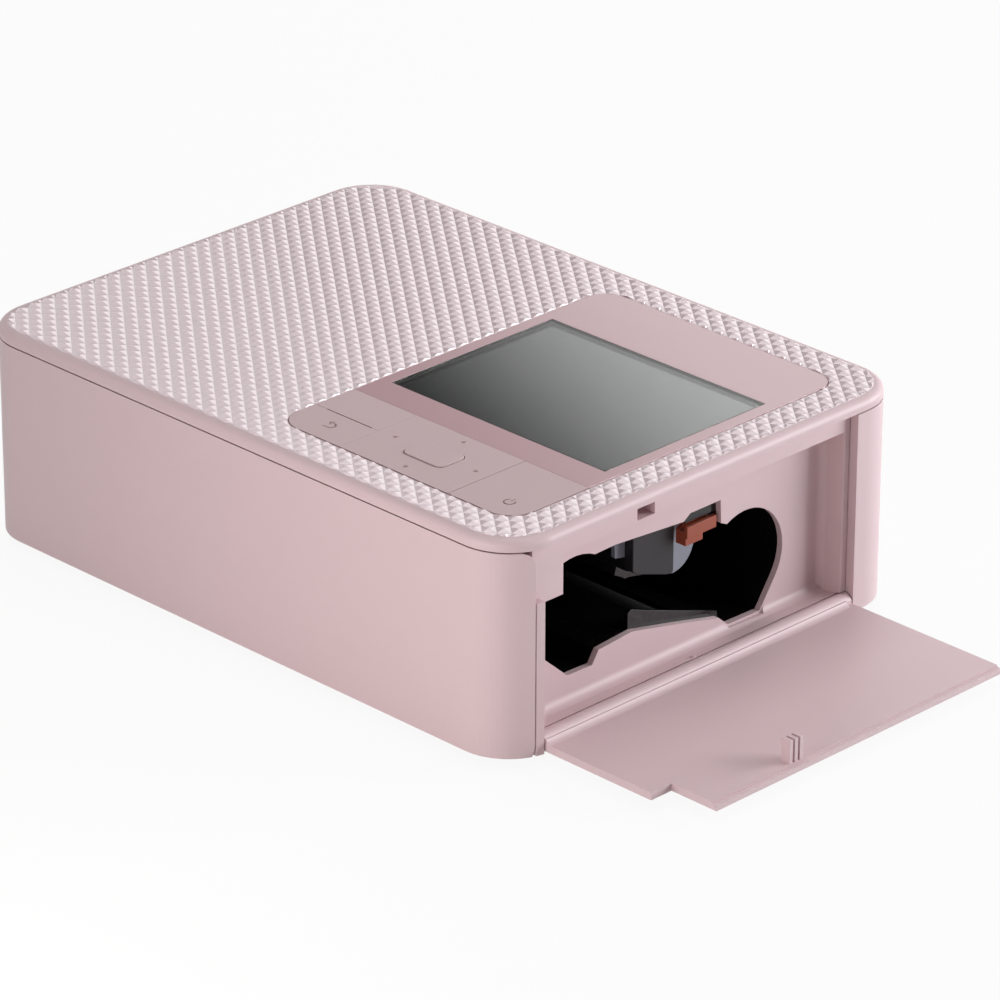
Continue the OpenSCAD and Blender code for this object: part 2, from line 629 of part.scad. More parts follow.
// Cassette bay and chassis
// Lip along the aperture's lower edge, [distance from the front wall, height]
liner_lip = [[49.6, 16.6], [63.8, 13.4], [78.7, 9.9], [80, 8.9], [79.8, 11.5], [67.2, 15.8], [54.8, 20.2],
    [50.6, 21.8], [49.6, 21.2]];
module cassette_liner() placed() color(black) {
    difference() {
        liner_tube();
        // Room for the eject lever
        box([right_x - 1, at_front(66), 30], [liner_end_x, at_front(80.4), 60]);
    }
    // Visor over the eject lever
    box([liner_end_x, at_front(68.2), lever_top + 0.5], [bay_x1 - 0.05, at_front(78.7), lever_top + 4.3]);
    slab_x(liner_end_x, 1.1) translate([yf, 0]) polygon(liner_lip);
}
module liner_tube() difference() {
    slab_x(bay_x0, bay_depth) bay_shape(liner_t + 0.05);
    slab_x(bay_x0 - 1, bay_depth + 2) bay_shape(0.05);
    // Window for the print head above, slots for its arms and for the platen below
    box([bay_x0 - 1, at_front(52), 30], [right_x, at_front(82), 60]);
    for (x = [arm_x0 - 0.5, arm_x1 - arm_t - 0.5])
        box([x, at_front(52), 28], [x + arm_t + 1, at_front(99), 60]);
    box([bay_x0 - 1, platen[0] - platen_r - 0.6, 0], [right_x, platen[0] + platen_r + 0.6, 20]);
}
module chassis_shape() translate([at_front(11.5), base_z])
    square([chassis_back - at_front(11.5), chassis_top - base_z]);
module shaft_holes(x) {
    for (p = [capstan, platen, pickup, pinch]) rod_x(x - 1, plate_thk + 2, p, shaft_r + run_fit);
    rod_x(x - 1, plate_thk + 2, head_pivot, shaft_r);
}
module chassis_left() placed() color(steel) difference() {
    slab_x(left_x, plate_thk) chassis_shape();
    shaft_holes(left_x);
    for (p = [takeup, supply]) rod_x(left_x - 1, plate_thk + 2, p, 2 + run_fit);
    rod_x(left_x - 1, plate_thk + 2, feed_axis, 1);
}
module chassis_right() placed() color(steel) difference() {
    slab_x(right_x, plate_thk) difference() {
        chassis_shape();
        bay_shape(liner_t + 0.3);
    }
    shaft_holes(right_x);
    rod_x(right_x - 1, plate_thk + 2, lever_pivot, 1.2);
}
module chassis_stay() placed() color(steel) {
    box([left_x + plate_thk, chassis_back - 12, chassis_top - 1.2],
        [right_x, chassis_back - 2, chassis_top]);
    box([left_x + plate_thk, at_front(11.5), chassis_top - 1.2],
        [right_x, at_front(22), chassis_top]);
}
bracket_posts = [[at_front(52), 36], [at_front(70), 10], [at_front(104), 38]];
module gear_bracket() placed() color(steel) difference() {
    union() {
        box([bracket_x, at_front(24), base_z], [bracket_x + plate_thk, at_front(108), 42]);
        for (p = bracket_posts)
            rod_x(bracket_x + plate_thk - eps, left_x - bracket_x - plate_thk + eps, p, 2);
        rod_x(bracket_x + plate_thk - eps, left_x - bracket_x, feed_axis, 1);
    }
    for (p = [motor_axis, ribbon_axis]) rod_x(bracket_x - 1, plate_thk + 2, p, 3.2);
}
guide_z = 5.2;
module paper_guide() placed() color(black) {
    // Sloping guide from the platen down to the rear slot, on ribs that stand on the base
    slab_x(left_x + plate_thk + 1, right_x - left_x - plate_thk - 2) polygon([
        [platen[0] + platen_r + 1.5, 9.5], [platen[0] + platen_r + 1.5, base_z + 0.02],
        [yb - wall - 0.3, base_z + 0.02], [yb - wall - 0.3, guide_z],
        [at_front(84), guide_z], [platen[0] + platen_r + 6, 8.6]]);
}
throat_x0 = bay_x0 + 3;
throat_x1 = right_x - 3;
throat_z1 = 24;
module front_throat() placed() color(pink) difference() {
    box([xl + 5, cover_y + 0.4, base_z], [recess_x - frame_t - 0.3, cover_y + 2, wall_top - 2]);
    box([throat_x0, cover_y - 1, 5.5], [throat_x1, cover_y + 4, throat_z1]);
    for (s = [-1, 1]) box([s * cover_pin_x - 3, cover_y - 1, 0], [s * cover_pin_x + 3, cover_y + 4, 12]);
}

// Print head, which swings down on its shaft to press the ribbon on the platen. Its outlines are
// drawn as it lies on the platen, and then raised by its swing.
arm_x0 = left_x + plate_thk + 1;
arm_x1 = right_x - 0.6;
arm_t = 1.2;
sink_front = head_tip[0] - 4;
sink_back = head_tip[0] + 9.5;
sink_z0 = head_tip[1] + 3;
sink_z1 = sink_z0 + 14;
module raised(x, len) slab_x(x, len) translate(head_pivot) rotate(-head_swing) translate(-head_pivot)
    children();
raised_tip = head_pivot + (head_tip - head_pivot) * [[cos(head_swing), -sin(head_swing)],
    [sin(head_swing), cos(head_swing)]];
arm_lower = [arc([head_tip[0] + 2.5, sink_z0 + 6], 6, -90, 0, 6),
    concat([[head_tip[0] + 6.5, sink_z0 + 1.2]], arc(head_tip + [8.4, 9.5], 7.1, -76, 0, 8))];
module head_carrier() placed() color(steel) difference() {
    union() {
        for (i = [0, 1]) raised(i == 0 ? arm_x0 : arm_x1 - arm_t, arm_t) {
            polygon(concat([[sink_front, sink_z1 + 2], [sink_front, sink_z0 + 3 * i]], arm_lower[i],
                [[head_tip[0] + 15.5, sink_z0 + 11], head_pivot + [1.5, -3], head_pivot + [-2, 2.7]]));
            translate(head_pivot) circle(3.3);
        }
        // Tab at the front of the right arm
        slab_x(arm_x1 - arm_t, arm_t) translate(raised_tip)
            polygon([[-8.8, 13.3], [-8.6, 9.8], [-0.5, 8], [1, 12], [-4, 13]]);
        raised(arm_x0 + arm_t - eps, arm_x1 - arm_x0 - 2 * arm_t + 2 * eps)
            translate([sink_front, sink_z1]) square([sink_back - sink_front, 1]);
    }
    rod_x(arm_x0 - 1, arm_x1 - arm_x0 + 2, head_pivot, shaft_r + run_fit);
}
module heat_sink() placed() color("#47484b")
    raised(arm_x0 + arm_t, arm_x1 - arm_x0 - 2 * arm_t) difference() {
        translate([sink_front, sink_z0]) square([sink_back - sink_front, sink_z1 - sink_z0]);
        for (i = [0:3]) translate([sink_front + 2.2 + 3 * i, sink_z0 + 5])
            square([1.4, sink_z1 - sink_z0 - 3]);
    }
module print_head() placed() color("#e4e1dc") raised(arm_x0 + 5, arm_x1 - arm_x0 - 10) polygon([
    [head_tip[0] - 4, sink_z0], [head_tip[0] - 4, sink_z0 - 2], [head_tip[0] - 1, head_tip[1] + 0.4],
    head_tip, [head_tip[0] + 1, head_tip[1] + 0.4],
    [head_tip[0] + 8, sink_z0 - 2], [head_tip[0] + 8, sink_z0]]);
module head_guard() placed() color("#3a3a3d") slab_x(arm_x1, 2.8) translate(raised_tip)
    polygon([[-5.5, 14.6], [-5.5, 6.4], [-5.2, 5.9], [-4.6, 5.5], [-3.1, 4.8], [5.9, 1.75], [7.4, 1.5],
        [8, 1.7], [8.1, 2.3], [8.1, 14.6]]);
module head_shaft() placed() color(steel) rod_x(left_x, right_x + plate_thk - left_x, head_pivot, shaft_r);

// Rollers
module platen_shaft() placed() color(steel) rod_x(left_x, right_x + plate_thk - left_x, platen, shaft_r);
module platen_rubber() placed() color(rubber) difference() {
    rod_x(left_x + plate_thk + 2, right_x - left_x - plate_thk - 4, platen, platen_r);
    rod_x(left_x, bay_depth, platen, shaft_r);
}
module capstan_roller() placed() color(steel) {
    rod_x(gear_x + gear_w / 2 - 0.1, right_x + plate_thk - gear_x - gear_w / 2 + 0.1, capstan, shaft_r);
    rod_x(left_x + plate_thk + 2, right_x - left_x - plate_thk - 4, capstan, capstan_r);
}
module capstan_gear() placed() color(white_nylon) difference() {
    gear_along(gear_x + gear_w / 2 - 0.1, gear_w / 2 + 0.1, capstan, teeth_small, capstan_turn);
    rod_x(gear_x - 1, gear_w + 2, capstan, shaft_r);
}
module pinch_roller() placed() color(steel)
    rod_x(left_x, right_x + plate_thk - left_x, pinch, pinch_r);
module pickup_shaft() placed() color(steel)
    rod_x(gear_x - 0.5, right_x + plate_thk - gear_x + 0.5, pickup, shaft_r);
module pickup_tyres() placed() color(rubber)
    for (x = [throat_x0 + 30, throat_x1 - 42]) difference() {
        rod_x(x, 12, pickup, pickup_r);
        rod_x(x - 1, 14, pickup, shaft_r);
    }
module pickup_gear() placed() color(white_nylon) difference() {
    gear_along(gear_x, gear_w / 2 - 0.4, pickup, teeth_pickup, pickup_turn);
    rod_x(gear_x - 1, gear_w, pickup, shaft_r);
}
module feed_gear() placed() color(white_nylon) difference() {
    union() {
        gear_along(gear_x - 0.2, gear_w / 2 - 0.2, feed_axis, teeth_feed, feed_turn);
        gear_along(gear_x + gear_w / 2 - 0.4 - eps, gear_w / 2 + 0.4, feed_axis, teeth_small, small_turn);
    }
    rod_x(gear_x - 1, gear_w + 2, feed_axis, 1 + run_fit);
}
module motor_pinion() placed() color("#b5904c") {
    gear_along(gear_x - 0.2, gear_w / 2 - 0.2, motor_axis, teeth_pinion, pinion_turn);
    rod_x(bracket_x - 1, gear_x - bracket_x + 1, motor_axis, 1);
}
module motor_can(yz, r, len) difference() {
    union() {
        rod_x(bracket_x - len, len, yz, r);
        rod_x(bracket_x - eps, 1 + eps, yz, 3);
    }
    rod_x(bracket_x - 1.6, 4, yz, 1 + run_fit);
}
module feed_motor() placed() color(steel) motor_can(motor_axis, 9, 17);
module ribbon_motor() placed() color(steel) motor_can(ribbon_axis, 7, 19);
module ribbon_pinion() placed() color("#b5904c") {
    gear_along(gear_x - 0.2, gear_w / 2 - 0.2, ribbon_axis, teeth_pinion, 0);
    rod_x(bracket_x - 1, gear_x - bracket_x + 1, ribbon_axis, 1);
}
module spindle(yz) {
    rod_x(gear_x - 0.5, left_x - gear_x + plate_thk + 1, yz, 2);
    rod_x(left_x + plate_thk + 0.3, 1, yz, 6);
    rod_x(left_x + plate_thk + 0.3, 7, yz, 3.4);
    for (a = [0, 120, 240]) translate([0, yz[0], yz[1]]) rotate([a, 0, 0])
        box([left_x + plate_thk + 0.3, -0.6, 0], [left_x + plate_thk + 6.5, 0.6, 4.6]);
}
module takeup_spindle() placed() color(white_nylon) spindle(takeup);
module supply_spindle() placed() color(white_nylon) spindle(supply);
module takeup_gear() placed() color(white_nylon) difference() {
    gear_along(gear_x - 0.2, gear_w / 2 - 0.2, takeup, teeth_spool, spool_turn);
    rod_x(gear_x - 1, gear_w + 2, takeup, 2);
}

// Eject lever in the bay's upper notch, turning on a pin in the right chassis plate
lever_x = right_x + plate_thk + 1.15;
lever_t = 1.1;
lever_pivot = [at_front(85), 43.4];
lever_y0 = at_front(67.8);
lever_y1 = at_front(77.6);
lever_top = 37.4;
module eject_lever() placed() color(orange) difference() {
    union() {
        slab_x(lever_x, lever_t) {
            translate(lever_pivot) circle(2.6);
            polygon([[lever_y0, lever_top - 1.4], [lever_y0, lever_top - 3.4], [lever_y1, lever_top - 3.4],
                [lever_y1, 39.4], lever_pivot + [1, -2.4], lever_pivot + [-1, 2.4], [lever_y1 - 3, 41]]);
        }
        box([lever_x, lever_y0, lever_top - 3], [bay_x1 + 0.2, lever_y1, lever_top - 1.5]);
        box([bay_x1 + 0.1, lever_y0, lever_top - 3], [recess_x - 0.4, lever_y1, lever_top]);
        box([lever_x, lever_y0, lever_top - 5], [recess_x - 0.9, lever_y0 + 5.8, lever_top - 2.9]);
    }
    rod_x(lever_x - 1, lever_t + 2, lever_pivot, 1.2 + run_fit);
}
module lever_pin() placed() color(steel) {
    rod_x(right_x, lever_x + lever_t + 0.4 - right_x, lever_pivot, 1.2);
    rod_x(right_x + plate_thk, lever_x - right_x - plate_thk - 0.06, lever_pivot, 2);
    rod_x(lever_x + lever_t + 0.06, 0.4, lever_pivot, 2);
}

// Boards, connections and fan
pcb_z = 8.2;
pcb_t = 1.6;
module main_board() placed() color(board_green) difference() {
    intersection() {
        box([xl + wall + 2, yf + 18, pcb_z], [bracket_x - 1, yb - wall - 1, pcb_z + pcb_t]);
        translate([0, 0, pcb_z - 1]) linear_extrude(pcb_t + 2) body_outline(wall + 1);
    }
    translate([posts_at[2][0], posts_at[2][1], 0]) cylinder(h = body_h, r = 3.2);
}
module board_parts() placed() color(black) {
    box([xl + 30, -40, pcb_z + pcb_t], [xl + 38, -30, pcb_z + pcb_t + 1.2]);
    box([xl + 34, 4, pcb_z + pcb_t], [xl + 40, 14, pcb_z + pcb_t + 1]);
    for (y = [26, 36]) translate([xl + 14, y, pcb_z + pcb_t]) cylinder(h = 11, r = 4);
}
module dc_jack() placed() color(black) difference() {
    box([inlet_x - 4.6, yb - wall - inlet_depth - 2.5, pcb_z + pcb_t],
        [inlet_x + 4.6, yb - wall - 0.1, inlet_z + 4.6]);
    rod_y(inlet_x, yb - wall - inlet_depth - 0.1, inlet_z, inlet_depth + 2, inlet_r);
}
module card_socket() placed() color(steel) difference() {
    box([xl + wall + 0.2, card_y - card_w / 2 - 1.2, pcb_z + pcb_t],
        [xl + wall + 28, card_y + card_w / 2 + 1.2, card_z + 3.6]);
    box([xl, card_y - card_w / 2 + 0.2, card_z + 0.3],
        [xl + wall + 26, card_y + card_w / 2 - 0.2, card_z + 2.9]);
}
module usb_socket() placed() color(steel) difference() {
    translate([xl + wall + 0.2, usb_y, card_z + 1.6]) rotate([90, 0, 90]) rotate(90)
        rounded_slot(3.2, 9, 8);
    translate([xl, usb_y, card_z + 1.6]) rotate([90, 0, 90]) rotate(90)
        rounded_slot(2.6, 8.4, wall + 7);
}
module fan_housing() placed() color(black) {
    y0 = yb - wall - 0.2;
    difference() {
        box([fan_x - fan_s / 2, y0 - 8, fan_z - fan_s / 2], [fan_x + fan_s / 2, y0, fan_z + fan_s / 2]);
        rod_y(fan_x, y0 - 9, fan_z, 10, fan_s / 2 - 1);
    }
    difference() {
        union() {
            box([fan_x - fan_s / 2, y0 - 8, fan_z - 1], [fan_x + fan_s / 2, y0 - 7, fan_z + 1]);
            rod_y(fan_x, y0 - 8, fan_z, 1, 4.5);
        }
    }
    rod_y(fan_x, y0 - 7.5, fan_z, 5, 1);
}
module fan_rotor() placed() color(black) difference() {
    y0 = yb - wall - 0.2;
    union() {
        rod_y(fan_x, y0 - 6.6, fan_z, 5.4, 5);
        for (i = [0:6]) translate([fan_x, y0 - 3.9, fan_z]) rotate([0, 360 / 7 * i, 0])
            translate([9, 0, 0]) rotate([35, 0, 0]) cube([9, 0.9, 6], center = true);
    }
    rod_y(fan_x, y0 - 7, fan_z, 5, 1 + run_fit);
}

base_tray();
rear_case();
top_cover();
bay_frame();
front_cover();
cassette_door();
rubber_feet();
case_screws();
key_plate();
menu_key();
back_key();
nav_key();
ok_key();
power_key();
panel_board();
tact_switches();
display_window();
lcd_glass();
lcd_module();
cassette_liner();
chassis_left();
chassis_right();
chassis_stay();
gear_bracket();
paper_guide();
front_throat();
head_carrier();
heat_sink();
print_head();
head_guard();
head_shaft();
platen_shaft();
platen_rubber();
capstan_roller();
capstan_gear();
pinch_roller();
pickup_shaft();
pickup_tyres();
pickup_gear();
feed_gear();
motor_pinion();
feed_motor();
takeup_spindle();
takeup_gear();
ribbon_pinion();
ribbon_motor();
supply_spindle();
eject_lever();
lever_pin();
main_board();
board_parts();
dc_jack();
card_socket();
usb_socket();
fan_housing();
fan_rotor();
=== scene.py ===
"""Looks of the compact photo printer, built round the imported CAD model.

Sizes are written in mm and turned to metres by MM. +X is the cassette-door end, -Y the front and
+Z up, as in the CAD.
"""

import json
import math

import bmesh
import bpy
from mathutils import Matrix, Vector


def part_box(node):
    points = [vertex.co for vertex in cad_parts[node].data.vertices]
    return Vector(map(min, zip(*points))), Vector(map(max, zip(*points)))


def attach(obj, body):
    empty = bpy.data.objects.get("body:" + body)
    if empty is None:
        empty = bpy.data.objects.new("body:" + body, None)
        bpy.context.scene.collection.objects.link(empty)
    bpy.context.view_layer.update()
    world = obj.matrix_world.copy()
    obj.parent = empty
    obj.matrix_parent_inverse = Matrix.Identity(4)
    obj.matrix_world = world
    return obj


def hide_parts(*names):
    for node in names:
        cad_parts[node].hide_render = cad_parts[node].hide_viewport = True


MM = 0.001

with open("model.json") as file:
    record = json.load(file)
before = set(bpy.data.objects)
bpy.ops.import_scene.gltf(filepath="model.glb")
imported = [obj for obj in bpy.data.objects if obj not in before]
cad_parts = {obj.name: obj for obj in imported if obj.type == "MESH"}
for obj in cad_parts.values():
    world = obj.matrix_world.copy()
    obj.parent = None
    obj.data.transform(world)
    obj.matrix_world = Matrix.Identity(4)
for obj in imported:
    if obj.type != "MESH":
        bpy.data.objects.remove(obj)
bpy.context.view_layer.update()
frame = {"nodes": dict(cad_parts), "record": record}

# Two points nearer than this are one point, and two faces flatter than this are one face.
SAME_POINT = 0.002
SAME_FACE_DEGREES = 0.6
# An edge sharper than this gets an edge radius.
SHARP_DEGREES = 32
# The open door moves the body this far from the middle of the model.
BODY_SHIFT = -23.35


# ---------------------------------------------------------------- small helpers
def srgb(code):
    """A hex colour as linear RGBA."""
    parts = [int(code[i:i + 2], 16) / 255 for i in (1, 3, 5)]
    linear = [c / 12.92 if c < 0.04045 else ((c + 0.055) / 1.055) ** 2.4 for c in parts]
    return (*linear, 1.0)


def add(tree, kind, settings=None, inputs=None):
    """Adds a node with its settings, and links or sets its inputs."""
    n = tree.nodes.new(kind)
    for key, value in (settings or {}).items():
        setattr(n, key, value)
    for key, value in (inputs or {}).items():
        if isinstance(value, bpy.types.NodeSocket):
            tree.links.new(value, n.inputs[key])
        else:
            n.inputs[key].default_value = value
    return n


def mesh_from(bm, name):
    """A mesh from finished mesh work, which is freed."""
    mesh = bpy.data.meshes.new(name)
    bm.to_mesh(mesh)
    bm.free()
    return mesh


def place_object(name, data):
    obj = bpy.data.objects.new(name, data)
    bpy.context.scene.collection.objects.link(obj)
    return obj


def new_piece(name, mesh, body, material=None, replaced=()):
    obj = place_object(name, mesh)
    if material is not None:
        mesh.materials.clear()
        mesh.materials.append(material)
    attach(obj, body)
    if replaced:
        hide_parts(*replaced)
    return obj


def body_of(node):
    groups = frame["record"]["behaviour"]["bodies"]
    return next(b for b, members in groups.items() if node in members)


def apply_modifiers(obj):
    """Turns the object's evaluated mesh into its plain mesh."""
    graph = bpy.context.evaluated_depsgraph_get()
    done = bpy.data.meshes.new_from_object(obj.evaluated_get(graph))
    old = obj.data
    obj.modifiers.clear()
    obj.data = done
    bpy.data.meshes.remove(old)
    done.name = obj.name


def join_flat_faces(bm):
    bmesh.ops.dissolve_limit(bm, angle_limit=math.radians(SAME_FACE_DEGREES), verts=bm.verts,
                             edges=bm.edges)


def merged_copy(node):
    """A copy of a CAD node's mesh with its doubles merged and its flat faces joined."""
    mesh = frame["nodes"][node].data.copy()
    bm = bmesh.new()
    bm.from_mesh(mesh)
    bmesh.ops.remove_doubles(bm, verts=bm.verts, dist=SAME_POINT * MM)
    join_flat_faces(bm)
    bm.to_mesh(mesh)
    bm.free()
    return mesh


def mark_outer_edges(mesh):
    """Gives the sharp edges that stand out the full edge radius, and inner corners none."""
    bm = bmesh.new()
    bm.from_mesh(mesh)
    weights = bm.edges.layers.float.new("bevel_weight_edge")
    for e in bm.edges:
        outer = len(e.link_faces) == 2 and e.is_convex
        if outer and e.calc_face_angle() > math.radians(SHARP_DEGREES):
            e[weights] = 1.0
    bm.to_mesh(mesh)
    bm.free()


def eased(node, material, radius=0.25, segments=2, change=None, outer_only=False):
    """A CAD node with the small edge radius that a moulded or cut piece has. change works on its
    mesh first. outer_only leaves the inner corners sharp, where another piece moves close by."""
    mesh = merged_copy(node)
    if change:
        change(mesh)
    mesh.polygons.foreach_set("use_smooth", [True] * len(mesh.polygons))
    mesh.set_sharp_from_angle(angle=math.radians(SHARP_DEGREES))
    if outer_only:
        mark_outer_edges(mesh)
    obj = new_piece(node + "_finished", mesh, body_of(node), material, [node])
    bevel = obj.modifiers.new("edge radius", "BEVEL")
    bevel.width = radius * MM
    bevel.segments = segments
    bevel.limit_method = "WEIGHT" if outer_only else "ANGLE"
    bevel.angle_limit = math.radians(SHARP_DEGREES)
    bevel.use_clamp_overlap = True
    obj.modifiers.new("flat faces stay flat", "WEIGHTED_NORMAL").keep_sharp = True
    apply_modifiers(obj)
    return obj


def second_material(obj, material, chosen):
    """Gives the faces that chosen(face) picks another material."""
    obj.data.materials.append(material)
    for face in obj.data.polygons:
        face.material_index = 1 if chosen(face) else 0


# ---------------------------------------------------------------- materials
NOISE_DETAIL, NOISE_ROUGHNESS = 3.0, 0.55
GRAIN_DETAIL, GRAIN_ROUGHNESS = 2.0, 0.6
# Sockets of the Mix node when it mixes colours
MIX_A, MIX_B, MIX_RESULT = 6, 7, 2


def finish(name, colour, roughness, grain=0.0, grain_depth=0.0, mottle=0.0, mottle_size=8.0,
           metallic=0.0, coat=0.0, coat_roughness=0.05, ior=None, rough_spread=0.0, clear=0.0):
    """A surface with its colour, gloss, moulding grain and slight unevenness, sizes in mm."""
    m = bpy.data.materials.new(name)
    m.use_nodes = True
    t = m.node_tree
    t.nodes.clear()
    shader = add(t, "ShaderNodeBsdfPrincipled", inputs={
        "Metallic": metallic, "Roughness": roughness, "Coat Weight": coat,
        "Coat Roughness": coat_roughness, "Transmission Weight": clear})
    if ior:
        shader.inputs["IOR"].default_value = ior
    add(t, "ShaderNodeOutputMaterial", inputs={"Surface": shader.outputs[0]})
    place = add(t, "ShaderNodeTexCoord").outputs["Object"]
    base = srgb(colour)
    if mottle:
        noise = add(t, "ShaderNodeTexNoise", inputs={
            "Vector": place, "Scale": 1 / (mottle_size * MM), "Detail": NOISE_DETAIL,
            "Roughness": NOISE_ROUGHNESS})
        dark = (*(c * (1 - mottle) for c in base[:3]), 1.0)
        light = (*(min(1.0, c * (1 + mottle)) for c in base[:3]), 1.0)
        mix = add(t, "ShaderNodeMix", {"data_type": "RGBA"}, {
            "Factor": noise.outputs["Fac"], MIX_A: dark, MIX_B: light})
        t.links.new(mix.outputs[MIX_RESULT], shader.inputs["Base Color"])
    else:
        shader.inputs["Base Color"].default_value = base
    if grain:
        fine = add(t, "ShaderNodeTexNoise", inputs={
            "Vector": place, "Scale": 1 / (grain * MM), "Detail": GRAIN_DETAIL,
            "Roughness": GRAIN_ROUGHNESS})
        bump = add(t, "ShaderNodeBump", inputs={
            "Strength": 1.0, "Distance": grain_depth * MM, "Height": fine.outputs["Fac"]})
        t.links.new(bump.outputs["Normal"], shader.inputs["Normal"])
        if rough_spread:
            spread = add(t, "ShaderNodeMapRange", inputs={
                "Value": fine.outputs["Fac"], "To Min": roughness - rough_spread,
                "To Max": roughness + rough_spread})
            t.links.new(spread.outputs["Result"], shader.inputs["Roughness"])
    return m


# The real grain of a mould, a plating bath or a grinding wheel is about a tenth of a millimetre,
# which is too fine to show in the render, so it is drawn as coarse as it needs to show: 0.25 to
# 0.8 mm. The sink marks of black_gloss are as large as real ones.

# Fine spark-eroded mould texture: a soft, even pink with no clear reflection.
pink_abs = finish("moulded ABS, fine mould texture", "#dbc1c4", 0.46, grain=0.35,
                  grain_depth=0.012, mottle=0.012, mottle_size=14.0, rough_spread=0.05)
# The same ABS from a polished part of the mould. Its colour is painted much lighter than the
# casing's, as a painted sheen over the whole pattern. The raised diamonds also glint at their tips
# from their own gloss and shape.
diamond_abs_with_painted_sheen = finish("moulded ABS, polished diamonds, lightened as painted sheen", "#f3dee3", 0.2, grain=0.6,
                       grain_depth=0.004, mottle=0.01, coat=0.7, coat_roughness=0.1)
# Hard-coated sheet: flat, matte and a little greyer than the casing.
key_sheet = finish("hard-coated polycarbonate key sheet, matte", "#cdb3b5", 0.5, grain=0.3,
                   grain_depth=0.006, mottle=0.008, mottle_size=10.0)
# Ink pressed on with a pad: a flat rose, a shade darker than the keys.
symbol_ink = finish("pad-printed ink, rose grey", "#a07f80", 0.45, grain=0.3, grain_depth=0.002,
                    mottle=0.03)
# Sheet painted from behind: the colour lies under a clear, mirroring face.
painted_sheet = finish("back-painted polycarbonate sheet", "#c89fa4", 0.35, coat=1.0,
                       coat_roughness=0.03, mottle=0.01)
# Clear cover of the display: it mirrors the studio, and its thickness shows at its far sides.
clear_sheet = finish("cast acrylic sheet, clear", "#f4f6f5", 0.02, clear=1.0, ior=1.49)
# Polariser over a dark cell: nearly black, with a soft mirror on top.
lcd_face = finish("liquid crystal panel with its polariser, switched off", "#1f1f1f", 0.07,
                  mottle=0.02, coat=0.6, coat_roughness=0.06)
# Printed border round the display: black, a little duller than the polariser.
lcd_border = finish("black screen print on glass", "#1d2221", 0.3, grain=0.4, grain_depth=0.002,
                    mottle=0.04)
# Polished mould with slight sink marks: black that shows only wavy reflections.
black_gloss = finish("moulded ABS, black, polished mould", "#100e0f", 0.13, grain=2.6,
                     grain_depth=0.16, mottle=0.1)
# Textured polyamide: dark grey, without reflections.
black_matte = finish("moulded polyamide, black", "#17161a", 0.5, grain=0.3, grain_depth=0.01,
                     mottle=0.06)
# Acetal: a dull, waxy shine.
orange_pom = finish("moulded acetal, orange", "#9c4a33", 0.34, grain=0.5, grain_depth=0.006,
                    mottle=0.05)
# Uncoloured acetal, as gears are made of: milky white with the same waxy shine.
white_pom = finish("moulded acetal, natural white", "#dedbd2", 0.38, grain=0.5,
                   grain_depth=0.006, mottle=0.03)
# Ground rubber: black and dry, with hardly any shine.
rubber = finish("nitrile rubber, ground", "#1c1b1c", 0.72, grain=0.25, grain_depth=0.02,
                mottle=0.08)
# Zinc plating: grey metal that is cloudy from place to place.
zinc_sheet = finish("zinc-plated steel sheet", "#b2b4b6", 0.34, grain=0.7, grain_depth=0.004,
                    mottle=0.06, mottle_size=4.0, metallic=1.0)
# Ground bar: bright, with a narrow streak of light along it.
ground_steel = finish("ground steel bar", "#bdbec0", 0.2, grain=0.4, grain_depth=0.003,
                      mottle=0.03, metallic=1.0)
# Drawn and nickel-plated can: warmer and duller than the bars.
nickel_can = finish("nickel-plated steel can", "#a9aaa8", 0.28, grain=0.6, grain_depth=0.003,
                    mottle=0.04, metallic=1.0)
# Turned brass: yellow metal with a soft shine.
brass = finish("turned brass", "#b8923f", 0.28, grain=0.4, grain_depth=0.003, mottle=0.04,
               metallic=1.0)
# Dark oxide layer on aluminium: dark grey with some of the metal's shine.
dark_anodised = finish("anodised aluminium, dark grey", "#34353a", 0.42, grain=0.4,
                       grain_depth=0.006, mottle=0.05, metallic=0.6)
# Glaze over a ceramic board: glossy brown black.
glazed_ceramic = finish("glazed alumina, dark resistor glaze", "#2c2726", 0.18, grain=0.8,
                        grain_depth=0.002, mottle=0.04)
# Lacquer over copper: green, lighter and darker where the tracks run.
solder_mask = finish("glass-epoxy board with green solder mask", "#1f4d31", 0.3, grain=0.5,
                     grain_depth=0.006, mottle=0.12, mottle_size=3.0)
# Satin moulding: blue grey with a broad, soft highlight.
grey_polymer = finish("moulded polycarbonate, blue grey", "#8e929e", 0.4, grain=0.4,
                      grain_depth=0.008, mottle=0.03)

# ---------------------------------------------------------------- nodes that keep their CAD shape
for material, names in {
        zinc_sheet: ["chassis_left", "chassis_right", "chassis_stay", "gear_bracket",
                     "card_socket", "usb_socket", "case_screws"],
        ground_steel: ["head_shaft", "platen_shaft", "capstan_roller", "pinch_roller",
                       "pickup_shaft", "lever_pin"],
        rubber: ["platen_rubber", "pickup_tyres", "rubber_feet"],
        white_pom: ["capstan_gear", "pickup_gear", "feed_gear", "takeup_gear", "takeup_spindle",
                    "supply_spindle"],
        brass: ["motor_pinion", "ribbon_pinion"],
        nickel_can: ["feed_motor", "ribbon_motor"],
        solder_mask: ["main_board", "panel_board"],
        black_matte: ["key_plate", "tact_switches", "board_parts", "dc_jack", "fan_housing",
                      "fan_rotor", "paper_guide"],
        dark_anodised: ["heat_sink"],
        glazed_ceramic: ["print_head"]}.items():
    for name in names:
        node_mesh = frame["nodes"][name].data
        node_mesh.materials.clear()
        node_mesh.materials.append(material)

# ---------------------------------------------------------------- casing and bay
eased("bay_frame", pink_abs, 0.4, 3)
for name in ["base_tray", "rear_case", "front_cover", "cassette_door", "front_throat"]:
    eased(name, pink_abs)
eased("eject_lever", orange_pom, 0.15)
eased("cassette_liner", black_gloss, 0.2)
eased("head_carrier", grey_polymer, 0.1)
eased("head_guard", black_matte, 0.15)

# ---------------------------------------------------------------- keys
KEY_DRAFT = 0.08
